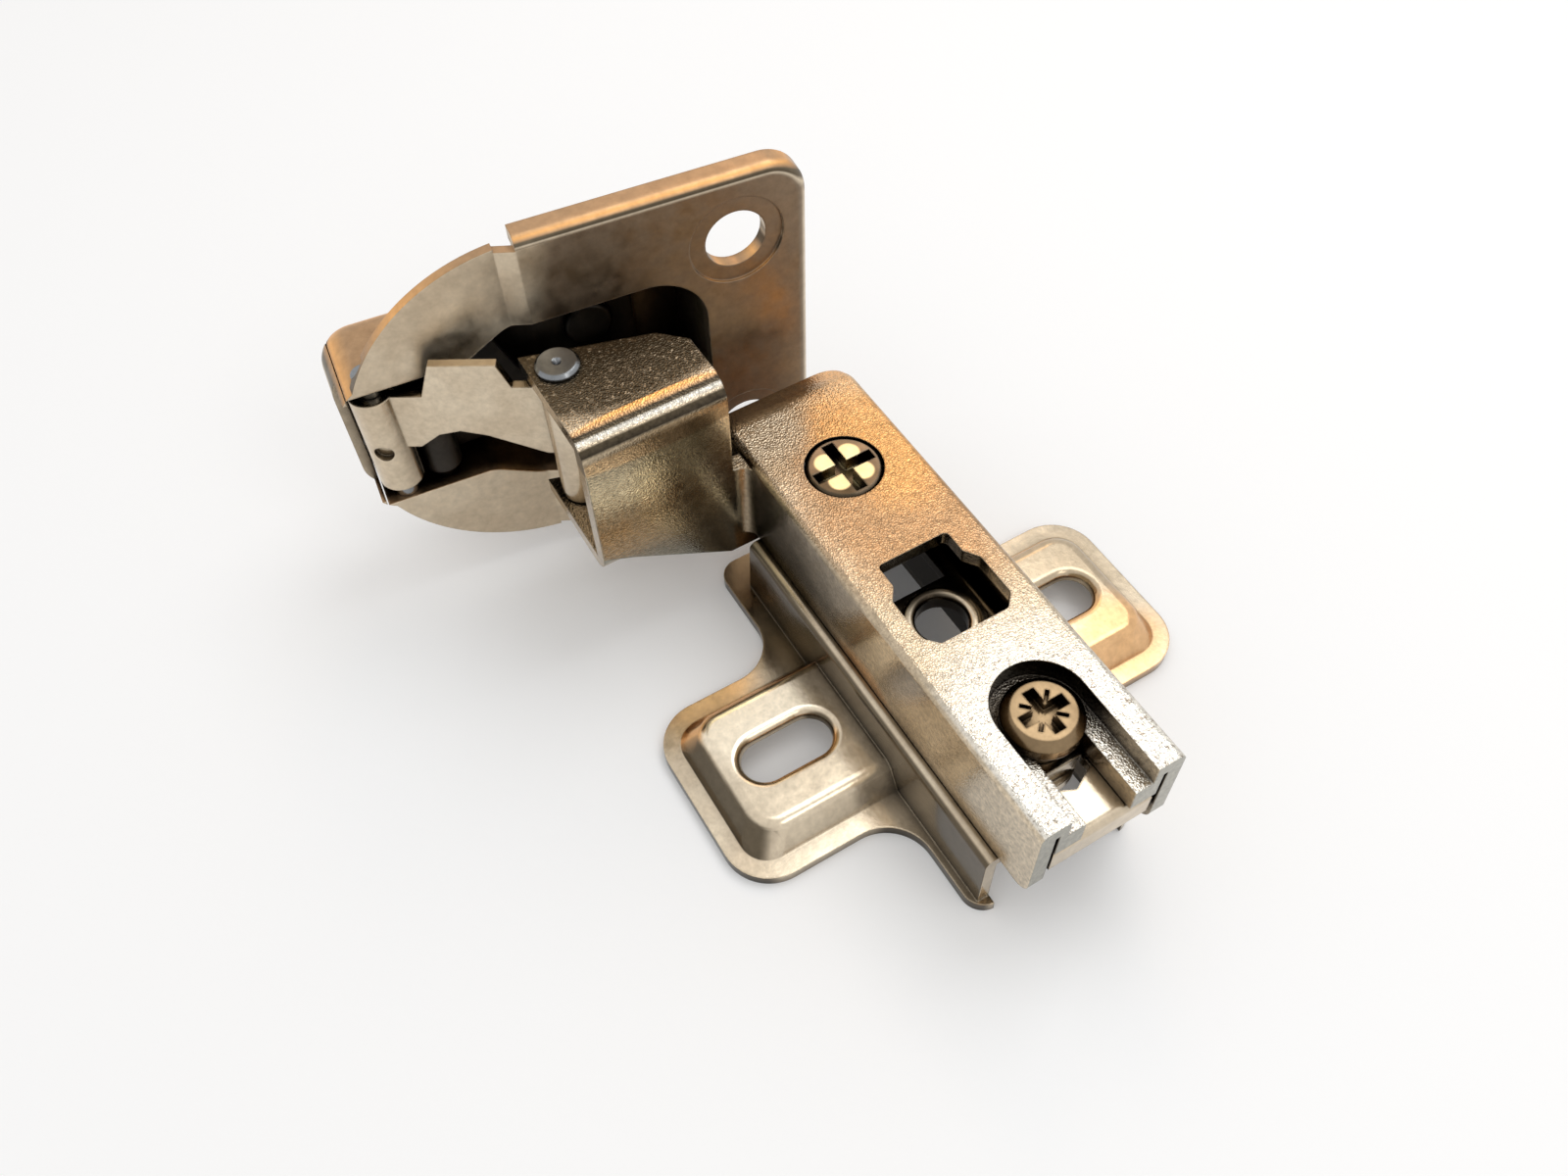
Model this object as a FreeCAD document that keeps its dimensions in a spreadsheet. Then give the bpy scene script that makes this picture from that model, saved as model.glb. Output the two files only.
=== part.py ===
import FreeCAD, Part
import math
import os
import re
import Sketcher

# A concealed hinge for a cabinet door, closed and pressed a little past closed by its spring.
# Millimetres. The origin is the middle of the two slots in the underside of the mounting plate.
# +X runs along the arm to its rear end, away from the door, and +Z stands up from the plate.
# Every size is a cell of the sheet, and every feature is bound to those cells.
SIZES = {
    # Sheet thicknesses and clearances
    "plate_sheet": 1.2,
    "arm_sheet": 1.6,
    "cup_sheet": 1.0,
    "running_gap": 0.05,
    "seat_gap": 0.1,
    "side_gap": 0.2,

    # Mounting plate: wings with a slotted pad each, and a base strip along the arm
    "wing_half_width": 10.45,
    "wing_rim": 10.2,
    "wing_corner": 4.8,
    "strip_front": 24.0,
    "strip_rear": 22.6,
    "strip_front_half": 10.6,
    "strip_rear_half": 9.4,
    "strip_corner": 2.2,
    "pad_height": 4.14,
    "pad_half_width": 6.8,
    "pad_root": 0.2,
    "pad_reach": 6.8,
    "pad_slope": 30.0,
    "pad_corner": 3.4,
    "pad_edge": 1.4,
    "slot_spacing": 32.0,
    "slot_half_length": 4.8,
    "slot_half_width": 2.35,
    "slot_lip": 0.9,

    # Mounting plate: stepped rib that carries the arm
    "step_half_width": 8.6,
    "step_height": 9.2,
    "step_front": 20.2,
    "step_rear": 21.6,
    "step_lean": 0.6,
    "ledge_edge": 0.9,
    "rib_front": 21.4,
    "rib_half_width": 5.3,
    "rib_height": 15.0,
    "rib_rear": 25.4,
    "rib_lip": 3.2,
    "rib_edge": 0.9,
    "guide_opening_front": 9.4,
    "guide_opening_rear": 2.6,
    "guide_opening_half": 3.3,
    "boss_at": 1.6,
    "boss_radius": 3.8,
    "boss_height": 0.6,
    "boss_hole": 2.5,
    "boss_countersink": 0.5,
    "collar_radius": 3.9,
    "collar_depth": 2.2,
    "notch_front": 19.3,
    "notch_rear": 21.7,
    "notch_half": 2.3,

    # Hinge arm: the channel
    "arm_half_width": 7.4,
    "arm_top": 20.25,
    "arm_rear": 25.5,
    "arm_front": 29.0,
    "tip_bend": 25.5,
    "tip_drop": 1.9,
    "tip_lip": 2.4,
    "tip_corner": 2.4,
    "tip_curve": 3.0,
    "cheek_gap": 0.15,
    "web_bottom": 7.1,
    "cheek_corner": 1.6,
    "arm_edge": 0.8,
    "window_front": 3.8,
    "window_rear": 6.1,
    "window_front_half": 3.8,
    "window_half": 4.8,
    "window_throat": 1.2,
    "window_waist": 0.2,
    "window_shoulder": 4.8,
    "window_rear_half": 3.6,
    "window_round": 0.5,
    "recess_centre": 15.55,
    "recess_half_width": 4.45,
    "recess_floor": 17.9,
    "recess_wall": 0.9,
    "arm_slot_front": 12.0,
    "arm_slot_half": 2.6,

    # Hinge arm: the bracket bent out of its left cheek
    "bracket_face": 21.2,
    "bracket_left": 23.6,
    "bracket_right": 9.0,
    "bracket_height": 18.8,
    "hinge_height": 21.92,
    "bracket_bend": 2.55,
    "cheek_reach_left": 34.2,
    "cheek_reach_right": 30.4,
    "cheek_round": 2.4,
    "web_neck": 2.5,
    "web_toe": 3.1,
    "web_toe_rise": 1.0,
    "web_bend": 1.5,
    "web_play": 0.1,
    "ear_half": 2.4,

    # Where the four pivots lie, seen along the pins
    "arm_pivot_x": 31.3,
    "arm_pivot_y": 20.9,
    "inner_pivot_x": 38.7,
    "inner_pivot_y": 10.04,
    "cup_pivot_across": 36.8,
    "cup_pivot_depth": 2.2,
    "inner_cup_pivot_across": 32.5,
    "inner_cup_pivot_depth": 3.0,

    # Pins
    "pin_radius": 1.2,
    "pin_head_radius": 2.1,
    "pin_head_height": 0.6,
    "pin_dimple": 0.45,
    "inner_pin_radius": 1.0,

    # Links
    "outer_eye_wall": 0.95,
    "outer_eye_below": 5.4,
    "outer_eye_above": 6.5,
    "outer_neck": 4.4,
    "outer_shoulder": 5.4,
    "outer_crown": 10.4,
    "outer_crown_end": 11.6,
    "outer_crown_fall": 13.0,
    "eye_seam": 0.15,
    "dimple_radius": 0.95,
    "dimple_floor": 1.5,
    "arch_near": 2.5,
    "arch_near_drop": 1.4,
    "arch_rise_at": 7.9,
    "arch_rise": 1.2,
    "arch_crown_at": 10.4,
    "arch_crown": 1.85,
    "arch_fall_at": 12.5,
    "arch_fall": 1.35,
    "arch_far": 14.6,
    "arch_far_drop": 0.3,
    "inner_eye_wall": 0.85,
    "inner_eye_below": 6.0,
    "inner_eye_above": 6.0,
    "inner_arm_eye_drop": 4.1,
    "inner_step_near": 8.0,
    "inner_step_far": 12.0,

    # Adjusting screw, held by its neck in the fork of the plate
    "adjuster_at": 15.4,
    "adjuster_radius": 3.85,
    "adjuster_height": 3.6,
    "adjuster_neck": 1.5,
    "adjuster_foot": 2.4,
    "adjuster_foot_height": 1.3,
    "adjuster_slot_half": 0.62,
    "adjuster_slot_depth": 1.5,
    "adjuster_slot_reach": 3.2,
    "fork_play": 1.3,
    "fork_gap": 0.15,
    "adjuster_dome": 0.4,

    # Fixing screw
    "fixing_at": 16.0,
    "fixing_head_radius": 3.7,
    "fixing_head_height": 2.0,
    "fixing_dome": 0.8,
    "fixing_thread_radius": 2.45,
    "fixing_end": 9.6,
    "cross_half": 0.6,
    "cross_reach": 2.3,
    "cross_depth": 1.3,
    "tick_half": 0.2,
    "tick_reach": 2.1,
    "tick_depth": 0.5,
    "thread_bevel": 0.6,

    # Cup and its flange, in their own frame: across, up and depth behind the face
    "door_angle": 6.875,
    "cup_face": 33.98,
    "flange_left": 21.0,
    "flange_right": 7.0,
    "flange_half_height": 20.0,
    "flange_corner": 4.2,
    "flange_depth": 2.4,
    "flange_rim": 1.5,
    "flange_edge": 1.1,
    "flange_hole_across": 0.4,
    "flange_hole_up": 12.64,
    "flange_hole": 3.08,
    "flange_dish": 4.8,
    "flange_dish_depth": 0.35,
    "crescent_inset": 0.76,
    "crescent_across": 20.9,
    "crescent_step": 0.7,
    "joggle": 1.8,
    "cup_left": 40.2,
    "cup_right": 2.9,
    "cup_depth": 11.0,
    "cup_half_height": 11.3,
    "cup_neck_half": 8.5,
    "cup_neck_across": 28.0,
    "cup_shoulder_across": 23.3,
    "cup_corner": 3.6,
    "cup_right_corner": 7.0,
    "cup_floor_round": 2.6,
    "mouth_corner": 3.2,
    "cup_end_cut": 4.1,
    "mouth_end_half": 6.9,
    "pin_end": 0.4,

    # Closing spring on the cup floor and its rivet
    "spring_sheet": 0.5,
    "spring_half_width": 4.2,
    "spring_right": 9.0,
    "spring_left": 34.6,
    "spring_bend": 1.7,
    "spring_crest_across": 31.0,
    "spring_crest_depth": 5.4,
    "spring_tongue_across": 24.0,
    "spring_tongue_depth": 6.9,
    "rivet_across": 14.0,
    "rivet_radius": 1.5,
    "rivet_head_radius": 2.6,
    "rivet_head_height": 0.9,
}

doc = FreeCAD.newDocument("ConcealedHinge")
sheet = doc.addObject("Spreadsheet::Sheet", "Sizes")
for row, (alias, amount) in enumerate(SIZES.items(), start=1):
    sheet.set("A%d" % row, alias)
    sheet.set("B%d" % row, str(amount))
    sheet.setAlias("B%d" % row, alias)
doc.recompute()

# The same cells as numbers, for picking edges and for the pieces' own frames
size = {alias: float(sheet.get(alias)) for alias in SIZES}

# An outline is first drawn about this large, and then its expressions put each point in place
FIRST_SIZE = 10.0

# An edge is straight if its chord is this share of its length, and runs along an axis if its box is
STRAIGHT_SHARE = 0.9999
ALONG_SHARE = 0.98


def bound(text):
    """The expression with each size name read from the sheet."""
    def from_sheet(word):
        return "Sizes." + word.group() if word.group() in SIZES else word.group()
    return re.sub(r"[a-z_]+", from_sheet, text)


def new_body(label):
    body = doc.addObject("PartDesign::Body", label)
    body.Label = label
    return body


def new_sketch(body, role, name, offset):
    """A sketch on one origin plane of its body, moved along that plane's normal."""
    plane = next(item for item in body.Origin.OriginFeatures if item.Role == role)
    sketch = body.newObject("Sketcher::SketchObject", name + "_outline")
    sketch.AttachmentSupport = (plane, [""])
    sketch.MapMode = "FlatFace"
    sketch.setExpression("AttachmentOffset.Base.z", bound(offset))
    return sketch


def pin_point(sketch, geometry, point, across, along):
    """Fixes a point of the sketch at two expressions."""
    for kind, expression in (("DistanceX", across), ("DistanceY", along)):
        index = sketch.addConstraint(Sketcher.Constraint(kind, -1, 1, geometry, point, 1.0))
        sketch.setExpression("Constraints[%d]" % index, bound(expression))


def draw_polygon(sketch, corners):
    """A closed outline whose corners are pairs of expressions."""
    count = len(corners)
    turn = 2 * math.pi / count
    start = []
    for k in range(count):
        start.append(FreeCAD.Vector(FIRST_SIZE * math.cos(turn * k), FIRST_SIZE * math.sin(turn * k), 0))
    first = sketch.GeometryCount
    for k in range(count):
        sketch.addGeometry(Part.LineSegment(start[k], start[(k + 1) % count]), False)
    for k in range(count):
        sketch.addConstraint(Sketcher.Constraint("Coincident", first + k, 2, first + (k + 1) % count, 1))
    for k, (across, along) in enumerate(corners):
        pin_point(sketch, first + k, 1, across, along)


def draw_circle(sketch, across, along, radius):
    circle = Part.Circle(FreeCAD.Vector(1, 1, 0), FreeCAD.Vector(0, 0, 1), FIRST_SIZE / 2)
    geometry = sketch.addGeometry(circle, False)
    pin_point(sketch, geometry, 3, across, along)
    index = sketch.addConstraint(Sketcher.Constraint("Radius", geometry, FIRST_SIZE / 2))
    sketch.setExpression("Constraints[%d]" % index, bound(radius))


def draw(sketch, outlines):
    """Outlines are polygons, or circles given as three expressions."""
    for outline in outlines:
        if isinstance(outline[0], str):
            draw_circle(sketch, *outline)
        else:
            draw_polygon(sketch, outline)


def box(left, right, bottom, top):
    return [(left, bottom), (right, bottom), (right, top), (left, top)]


def facing(reach_out, sign):
    """The two ends of a stretch on the positive side, or the same ones mirrored to the other."""
    near_end, far_end = reach_out
    return (near_end, far_end) if sign > 0 else ("-(" + far_end + ")", "-(" + near_end + ")")


def mirrored(corners):
    """The corners on one side of the middle line, and the same ones across it."""
    return corners + [(across, "-(" + along + ")") for across, along in reversed(corners)]


def slab(body, kind, role, name, outlines, low, high, taper="0"):
    """Adds or cuts a straight prism between two heights over an origin plane."""
    reach = "(" + high + ")-(" + low + ")"
    offset = "-(" + high + ")" if role == "XZ_Plane" else low
    sketch = new_sketch(body, role, name, offset)
    draw(sketch, outlines)
    feature = body.newObject(kind, name)
    feature.Profile = sketch
    feature.Type = "Length"
    feature.Reversed = kind == "PartDesign::Pocket"
    feature.setExpression("Length", bound(reach))
    if taper != "0":
        feature.setExpression("TaperAngle", bound(taper))
    body.Tip = feature
    return feature


def add(body, role, name, outlines, low, high, taper="0"):
    return slab(body, "PartDesign::Pad", role, name, outlines, low, high, taper)


def cut(body, role, name, outlines, low, high, taper="0"):
    """A cut runs on 1 mm past an open face. It always takes material away, so the volume is compared."""
    doc.recompute()
    before = body.Shape.Volume
    feature = slab(body, "PartDesign::Pocket", role, name, outlines, low, high, taper)
    doc.recompute()
    if not body.Shape.Volume < before:
        raise RuntimeError(name + " cuts nothing")
    return feature


def turn(body, name, corners, kind="PartDesign::Revolution"):
    """A turned form about the Z axis, from an outline of radii and heights."""
    sketch = new_sketch(body, "XZ_Plane", name, "0")
    draw_polygon(sketch, corners)
    feature = body.newObject(kind, name)
    feature.Profile = sketch
    feature.ReferenceAxis = (sketch, ["V_Axis"])
    feature.Angle = 360
    body.Tip = feature
    return feature


def between(number, limits):
    return limits is None or limits[0] <= number <= limits[1]


def pick(body, along=None, x=None, y=None, z=None, curved=False):
    """Names of the body's edges of one direction whose middle lies within the limits."""
    doc.recompute()
    names = []
    for number, edge in enumerate(body.Tip.Shape.Edges, start=1):
        bounds = edge.BoundBox
        chord = edge.valueAt(edge.FirstParameter).distanceToPoint(edge.valueAt(edge.LastParameter))
        straight = chord > edge.Length * STRAIGHT_SHARE
        if straight == curved:
            continue
        if along is not None and getattr(bounds, along.upper() + "Length") < edge.Length * ALONG_SHARE:
            continue
        centre = edge.CenterOfMass
        if between(centre.x, x) and between(centre.y, y) and between(centre.z, z):
            names.append("Edge%d" % number)
    return names


def soften(body, name, radius, names, kind="PartDesign::Fillet"):
    """Rounds or bevels the named edges of the body as it stands."""
    if not names:
        raise RuntimeError(name + " has no edges")
    base = body.Tip
    feature = body.newObject(kind, name)
    feature.Base = (base, names)
    feature.setExpression("Radius" if kind == "PartDesign::Fillet" else "Size", bound(radius))
    body.Tip = feature
    return feature


def near(amount, reach=0.02):
    return (amount - reach, amount + reach)


def mounting_plate():
    """Pressed plate: flat strip and wings, hollow pads, and a hollow stepped rib."""
    body = new_body("mounting_plate")
    flange = mirrored([
        ("-strip_front", "-strip_front_half"),
        ("-wing_half_width", "-strip_front_half"),
        ("-wing_half_width", "-slot_spacing / 2 - wing_rim"),
        ("wing_half_width", "-slot_spacing / 2 - wing_rim"),
        ("wing_half_width", "-strip_rear_half"),
        ("strip_rear", "-strip_rear_half"),
    ])
    add(body, "XY_Plane", "plate_flange", [flange], "0", "plate_sheet")
    reach = size["slot_spacing"] / 2 + size["wing_rim"]
    wide = size["wing_half_width"]
    tips = pick(body, "z", y=near(-reach)) + pick(body, "z", y=near(reach))
    soften(body, "wing_corners", "wing_corner", tips)
    inner = pick(body, "z", x=near(-wide), y=(-reach / 2, reach / 2))
    inner += pick(body, "z", x=near(wide), y=(-reach / 2, reach / 2))
    soften(body, "wing_roots", "wing_corner", inner)
    ends = pick(body, "z", x=near(-size["strip_front"])) + pick(body, "z", x=near(size["strip_rear"]))
    soften(body, "strip_corners", "strip_corner", ends)

    # Pads taper up from their foot, and their tops run into the sides of the step
    foot = "plate_sheet / 2"
    rise_spread = "+ (pad_height - " + foot + ") * tan(pad_slope)"
    spread = "+ pad_height * tan(pad_slope)"
    inner = "step_half_width - pad_root - pad_height * tan(pad_slope)"
    outer = "slot_spacing / 2 + pad_reach "
    for side, sign in (("left", -1), ("right", 1)):
        reach_out = [inner, outer + rise_spread]
        half = "pad_half_width " + rise_spread
        rise = box("-(" + half + ")", half, *facing(reach_out, sign))
        add(body, "XY_Plane", side + "_pad", [rise], foot, "pad_height", "-pad_slope")
    lean = size["pad_height"] * math.tan(math.radians(size["pad_slope"])) / 2
    corners = []
    far = size["slot_spacing"] / 2 + size["pad_reach"] + lean
    for x_middle in (-size["pad_half_width"] - lean, size["pad_half_width"] + lean):
        for y_middle in (-far, far):
            corners += pick(body, None, near(x_middle, 1), near(y_middle, 1), (1, size["pad_height"]))
    soften(body, "pad_corners", "pad_corner", corners)
    top = near(size["pad_height"])
    rims = pick(body, None, z=top) + pick(body, None, z=top, curved=True)
    soften(body, "pad_edges", "pad_edge", rims)

    # Lower step and upper rib under the arm
    step = [
        ("-step_front", "0"),
        ("step_rear", "0"),
        ("step_rear", "step_height"),
        ("-step_front + step_lean", "step_height"),
    ]
    add(body, "XZ_Plane", "plate_step", [step], "-step_half_width", "step_half_width")
    rib = [
        ("-rib_front", "plate_sheet"),
        ("step_rear", "plate_sheet"),
        ("step_rear", "step_height"),
        ("rib_rear", "rib_height - rib_lip"),
        ("rib_rear", "rib_height"),
        ("-rib_front", "rib_height"),
    ]
    add(body, "XZ_Plane", "plate_rib", [rib], "-rib_half_width", "rib_half_width")
    ledge = size["step_height"]
    sides = pick(body, "x", z=near(ledge), y=near(-size["step_half_width"]))
    sides += pick(body, "x", z=near(ledge), y=near(size["step_half_width"]))
    soften(body, "ledge_edges", "ledge_edge", sides)
    crest = pick(body, "x", z=near(size["rib_height"])) + pick(body, "y", z=near(size["rib_height"]))
    soften(body, "rib_edges", "rib_edge", crest)

    # Hollow underside of the pads, the step and the rib
    inset = "- plate_sheet / cos(pad_slope)"
    half = "pad_half_width " + spread + inset
    for side, sign in (("left", -1), ("right", 1)):
        reach_out = ["rib_half_width", outer + spread + inset]
        hollow = box("-(" + half + ")", half, *facing(reach_out, sign))
        cut(body, "XY_Plane", side + "_pad_hollow", [hollow], "0", "pad_height - plate_sheet", "-pad_slope")
    front = "-step_front + step_lean + plate_sheet"
    under_step = box(front, "strip_rear + 1", "-1", "step_height - plate_sheet")
    inner_half = "step_half_width - plate_sheet"
    cut(body, "XZ_Plane", "step_hollow", [under_step], "-(" + inner_half + ")", inner_half)
    under_rib = box("-rib_front + plate_sheet", "rib_rear - plate_sheet", "0", "rib_height - plate_sheet")
    inner_half = "rib_half_width - plate_sheet"
    cut(body, "XZ_Plane", "rib_hollow", [under_rib], "-(" + inner_half + ")", inner_half)

    # Slots for the plate's screws
    for side, sign in (("left", "-"), ("right", "")):
        middle = sign + "slot_spacing / 2"
        straight = "slot_half_length - slot_half_width"
        near_end = middle + "-(" + straight + ")"
        far_end = middle + "+(" + straight + ")"
        run = box("-slot_half_width", "slot_half_width", near_end, far_end)
        cut(body, "XY_Plane", side + "_slot", [run], "-1", "pad_height + 1")
        for end, along in (("near", near_end), ("far", far_end)):
            round_end = ("0", along, "slot_half_width")
            cut(body, "XY_Plane", side + "_slot_" + end, [round_end], "-1", "pad_height + 1")
    across = near(0, 2 * size["slot_half_width"])
    rims = pick(body, None, across, slot_band(-1), top, curved=True)
    rims += pick(body, None, across, slot_band(1), top, curved=True)
    soften(body, "slot_lips", "slot_lip", rims)

    # Openings in the top of the rib, its raised ring, and the threaded collar
    under = "rib_height - plate_sheet"
    above = "rib_height + boss_height + 1"
    half = "guide_opening_half"
    opening = box("-guide_opening_front", "-guide_opening_rear", "-" + half, half)
    cut(body, "XY_Plane", "guide_opening", [opening], under + " - 1", above)
    add(body, "XY_Plane", "boss", [("boss_at", "0", "boss_radius")], under, "rib_height + boss_height")
    cut(body, "XY_Plane", "boss_bore", [("boss_at", "0", "boss_hole")], under + " - 1", above)
    bore = near(size["boss_at"], size["boss_radius"])
    ring_top = size["rib_height"] + size["boss_height"]
    rim = pick(body, None, bore, (-1, 1), near(ring_top), curved=True)
    soften(body, "boss_round", "boss_countersink", rim)
    add(body, "XY_Plane", "collar", [("fixing_at", "0", "collar_radius")], under + " - collar_depth", under)
    thread = ("fixing_at", "0", "fixing_thread_radius + running_gap")
    cut(body, "XY_Plane", "collar_thread", [thread], under + " - collar_depth - 1", above)
    notch = [
        ("notch_front", "-notch_half"),
        ("(notch_front + notch_rear) / 2", "-notch_half"),
        ("notch_rear", "0"),
        ("(notch_front + notch_rear) / 2", "notch_half"),
        ("notch_front", "notch_half"),
    ]
    cut(body, "XY_Plane", "collar_notch", [notch], under + " - 1", above)

    # Fork that holds the neck of the adjusting screw, open to the front
    fork_half = "adjuster_neck + fork_gap"
    closed_end = "-adjuster_at + fork_play"
    fork = box("-rib_front - 1", closed_end, "-(" + fork_half + ")", fork_half)
    cut(body, "XY_Plane", "fork", [fork], under + " - 0.5", above)
    cut(body, "XY_Plane", "fork_end", [(closed_end, "0", fork_half)], under + " - 0.5", above)
    return body


def slot_band(sign):
    """Limits along Y round one slot."""
    middle = sign * size["slot_spacing"] / 2
    return near(middle, size["slot_half_length"] + 0.5)


def hinge_arm():
    """Folded channel and the bracket bent out of its left cheek, all one sheet."""
    body = new_body("hinge_arm")
    lip_top = "arm_top - tip_drop"
    cheek = "step_height + cheek_gap"
    lip_end = lip_top + " - tip_lip"
    web_back = "-bracket_face - arm_sheet"
    profile = [
        ("arm_rear", cheek),
        ("arm_rear", "arm_top"),
        ("-tip_bend", "arm_top"),
        ("-arm_front", lip_top),
        ("-arm_front", lip_end),
        (web_back, lip_end),
        (web_back, cheek),
    ]
    add(body, "XZ_Plane", "channel", [profile], "-arm_half_width", "arm_half_width")
    foot = pick(body, "y", near(size["arm_rear"]), z=near(size["step_height"] + size["cheek_gap"]))
    soften(body, "cheek_corners", "cheek_corner", foot)
    bend = pick(body, "y", near(-size["tip_bend"]), z=near(size["arm_top"]))
    soften(body, "tip_curve", "tip_curve", bend)
    soften(body, "tip_corners", "tip_corner", pick(body, "z", near(-size["arm_front"])))
    crest = []
    for side in (-1, 1):
        crest += pick(body, "x", y=near(side * size["arm_half_width"]), z=near(size["arm_top"]))
    soften(body, "arm_edges", "arm_edge", crest)
    hollow = [
        ("arm_rear + 1", cheek + " - 1"),
        ("arm_rear + 1", "arm_top - arm_sheet"),
        ("-tip_bend", "arm_top - arm_sheet"),
        ("-arm_front + arm_sheet", lip_top + " - arm_sheet"),
        ("-arm_front + arm_sheet", cheek + " - 1"),
    ]
    inner_half = "arm_half_width - arm_sheet"
    cut(body, "XZ_Plane", "channel_hollow", [hollow], "-(" + inner_half + ")", inner_half)

    # Sunk seat of the fixing screw, with a ledge either side of its slot
    underside = "rib_height + seat_gap"
    wall = "recess_half_width + recess_wall"
    inside_top = "arm_top - arm_sheet / 2"
    seat = box("recess_centre", "arm_rear", "-(" + wall + ")", wall)
    add(body, "XY_Plane", "seat", [seat], underside, inside_top)
    add(body, "XY_Plane", "seat_end", [("recess_centre", "0", wall)], underside, inside_top)
    sunk = box("recess_centre", "arm_rear + 1", "-recess_half_width", "recess_half_width")
    cut(body, "XY_Plane", "sunk", [sunk], "recess_floor", "arm_top + 1")
    round_end = ("recess_centre", "0", "recess_half_width")
    cut(body, "XY_Plane", "sunk_end", [round_end], "recess_floor", "arm_top + 1")
    slot_end = "arm_slot_front + arm_slot_half"
    slot = box(slot_end, "arm_rear + 1", "-arm_slot_half", "arm_slot_half")
    cut(body, "XY_Plane", "arm_slot", [slot], underside + " - 1", "arm_top")
    cut(body, "XY_Plane", "arm_slot_end", [(slot_end, "0", "arm_slot_half")], underside + " - 1", "arm_top")

    # Window over the rib, and the threaded opening of the adjusting screw
    under_top = "arm_top - arm_sheet - 1"
    window = mirrored([
        ("-window_front", "-window_front_half"),
        ("-window_throat", "-window_front_half"),
        ("window_waist", "-window_half"),
        ("window_shoulder", "-window_half"),
        ("window_rear", "-window_rear_half"),
    ])
    cut(body, "XY_Plane", "window", [window], under_top, "arm_top + 1")
    middle = near(size["arm_top"] - size["arm_sheet"] / 2, 0.1)
    inside = (-size["window_front"] - 0.1, size["window_rear"] + 0.1)
    soften(body, "window_corners", "window_round", pick(body, "z", inside, z=middle))
    thread = ("-adjuster_at", "0", "adjuster_radius + running_gap")
    cut(body, "XY_Plane", "adjuster_thread", [thread], under_top, "arm_top + 1")

    # Bracket: a web with a cheek bent forward above and below it
    low = "(hinge_height - bracket_height / 2)"
    high = "(hinge_height + bracket_height / 2)"
    block = box("-cheek_reach_left", "-bracket_face", low, high)
    add(body, "XZ_Plane", "bracket", [block], "-bracket_left", "-bracket_right")
    bends = []
    for side in (-1, 1):
        height = size["hinge_height"] + side * size["bracket_height"] / 2
        bends += pick(body, "y", near(-size["bracket_face"]), z=near(height))
    soften(body, "bracket_bends", "bracket_bend", bends)
    mouth = box("-cheek_reach_left - 1", web_back, low + " + arm_sheet", high + " - arm_sheet")
    cut(body, "XZ_Plane", "bracket_hollow", [mouth], "-bracket_left - 1", "-arm_half_width - web_play")
    trim = [
        ("-cheek_reach_left - 1", "-bracket_left - 1"),
        ("-cheek_reach_left", "-bracket_left - 1"),
        ("-cheek_reach_left", "-bracket_left"),
        ("-cheek_reach_right", "-bracket_right - cheek_round"),
        ("-cheek_reach_right + cheek_round", "-bracket_right"),
        ("-cheek_reach_right + cheek_round", "-bracket_right + 0.5"),
        ("-cheek_reach_left - 1", "-bracket_right + 0.5"),
    ]
    cut(body, "XY_Plane", "cheek_trim", [trim], low + " - 1", high + " + 1")
    web = [
        ("-bracket_left", low + " + bracket_bend"),
        ("-bracket_left + web_toe", low + " + web_toe_rise"),
        ("-arm_half_width - web_neck", "web_bottom"),
        ("-arm_half_width + arm_sheet", "web_bottom"),
        ("-arm_half_width + arm_sheet", "arm_top - arm_edge"),
        ("-bracket_right", "arm_top - arm_edge"),
        ("-bracket_right", high + " - bracket_bend"),
        ("-bracket_left", high + " - bracket_bend"),
    ]
    add(body, "YZ_Plane", "web", [web], web_back, "-bracket_face")
    fold_x = "-bracket_face + web_bend"
    fold_y = "-arm_half_width - web_bend"
    fold = box("-bracket_face - arm_sheet / 2", fold_x, fold_y, "-arm_half_width + arm_sheet / 2")
    add(body, "XY_Plane", "web_fold", [fold], cheek, "arm_top - arm_edge")
    cut(body, "XY_Plane", "web_fold_round", [(fold_x, fold_y, "web_bend")], cheek, "arm_top - arm_edge")
    pivot_ear(body, low)
    rivet = ("-arm_pivot_x", "-arm_pivot_y", "pin_radius")
    cut(body, "XY_Plane", "rivet_holes", [rivet], low + " - 1", high + " + 1")
    return body


def pivot_ear(body, low):
    """The lower cheek runs on past the arm's tip to reach the second pivot."""
    across = "-inner_pivot_x"
    along = "-inner_pivot_y"
    reach = box(across, "-cheek_reach_right + cheek_round", along + " - ear_half", along + " + ear_half")
    add(body, "XY_Plane", "ear", [reach], low, low + " + arm_sheet")
    add(body, "XY_Plane", "ear_end", [(across, along, "ear_half")], low, low + " + arm_sheet")
    hole = (across, along, "inner_pin_radius + running_gap")
    cut(body, "XY_Plane", "ear_hole", [hole], low + " - 1", low + " + arm_sheet + 1")


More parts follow.
